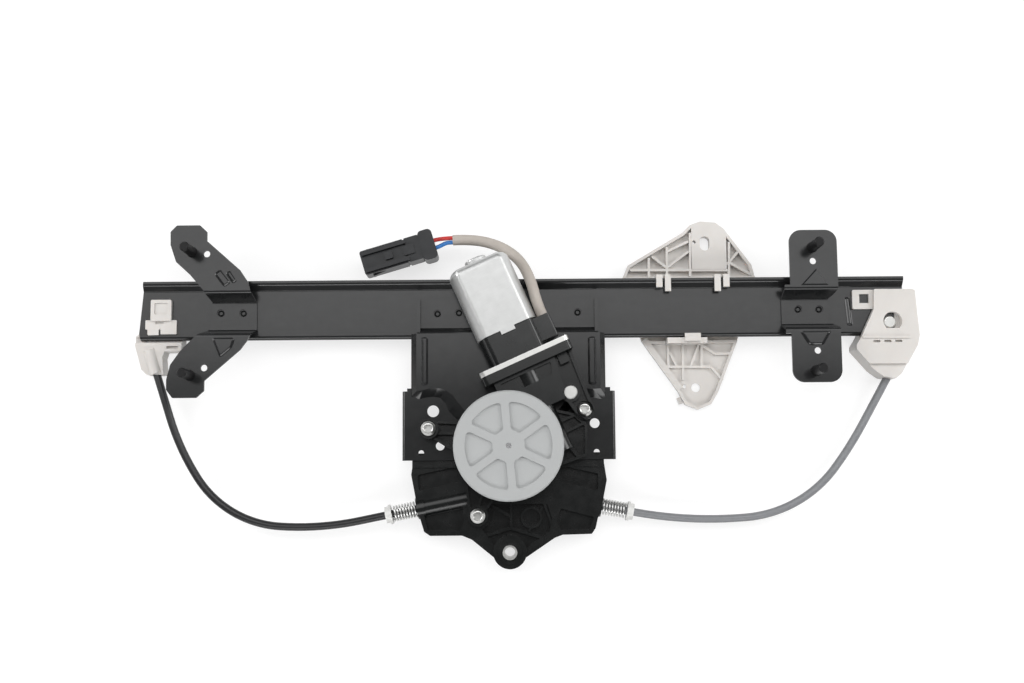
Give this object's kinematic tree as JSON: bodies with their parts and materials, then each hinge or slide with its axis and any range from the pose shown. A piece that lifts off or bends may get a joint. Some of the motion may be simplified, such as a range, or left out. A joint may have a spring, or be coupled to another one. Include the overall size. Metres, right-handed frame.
{
  "type": "window regulator",
  "caption": "Cable-driven window regulator: worm gear motor, cable drum, two conduits and a horizontal steel rail on which a plastic glass carrier slides.",
  "frame": {"origin": "centre of the four door studs, on the mounting faces of the brackets", "axes": "+X along the rail, away from the pigtail's connector; +Y across the rail, away from the motor; +Z along the door studs, out of the mounting faces"},
  "size_m": [0.4858, 0.2154, 0.0483],
  "materials": {
    "black_steel": "semi-gloss black coating",
    "stud_black": "black phosphate",
    "zinc_steel": "bright zinc plate",
    "motor_steel": "satin zinc plate",
    "black_plastic": "moulded satin",
    "connector_black": "moulded satin",
    "grey_plastic": "moulded satin",
    "natural_plastic": "moulded satin",
    "ferrule_white": "smooth",
    "conduit_black": "smooth extruded",
    "conduit_grey": "smooth extruded",
    "spring_steel": "bright wire",
    "cable_steel": "stranded, oiled",
    "nipple_zinc": "die cast",
    "shaft_steel": "ground",
    "core_steel": "laminated, varnished",
    "ferrite": "sintered",
    "sintered_bronze": "sintered",
    "copper": "turned",
    "sheath_grey": "satin sleeve",
    "wire_red": "smooth insulation",
    "wire_blue": "smooth insulation",
    "insert_red": "moulded",
    "pin_tin": "tin plate"
  },
  "bodies": {
    "frame": {"rail": "black_steel", "left_bracket": "black_steel", "right_bracket": "black_steel", "door_studs": "stud_black", "motor_plate": "black_steel", "left_conduit": "conduit_black", "right_conduit": "conduit_grey", "left_cable": "cable_steel", "right_cable": "cable_steel", "tension_springs": "spring_steel", "conduit_ferrules": "ferrule_white", "drum_housing": "black_plastic", "nose_bushing": "zinc_steel", "motor_can": "motor_steel", "magnets": "ferrite", "shaft_bearings": "sintered_bronze", "brush_collar": "black_plastic", "motor_flange_plate": "zinc_steel", "gear_housing": "black_plastic", "gear_cover": "grey_plastic", "gearbox_screws": "zinc_steel", "dowel_pin": "zinc_steel", "left_cable_guide": "natural_plastic", "right_cable_guide": "natural_plastic", "guide_rivet": "zinc_steel", "wire_sheath": "sheath_grey", "red_wire": "wire_red", "blue_wire": "wire_blue", "connector_housing": "connector_black", "connector_insert": "insert_red", "connector_pins": "pin_tin"},
    "glass_carrier": {"carrier": "natural_plastic", "cable_nipples": "nipple_zinc"},
    "drum": {"cable_drum": "natural_plastic", "worm_wheel": "natural_plastic", "output_shaft": "shaft_steel"},
    "armature": {"worm_shaft": "shaft_steel", "armature_core": "core_steel", "commutator": "copper"}
  },
  "joints": [
    {"name": "armature_spin", "type": "hinge", "parent": "frame", "child": "armature", "pos_m": [-0.01672, 0.03099, 0.0075], "axis": [0.4067, -0.9135, 0], "range_deg": [-6300, 30200]},
    {"name": "drum_spin", "type": "hinge", "parent": "frame", "child": "drum", "pos_m": [0.0032, -0.0826, 0], "axis": [0, 0, 1], "range_deg": [-126.5, 604.5]},
    {"name": "carrier_slide", "type": "slide", "parent": "frame", "child": "glass_carrier", "axis": [1, 0, 0], "range_m": [-0.268, 0.056]}
  ],
  "couplings": [
    {"joint": "drum_spin", "follows": "armature_spin", "ratio": 0.02},
    {"joint": "carrier_slide", "follows": "armature_spin", "m_per_rad": -0.000508}
  ]
}
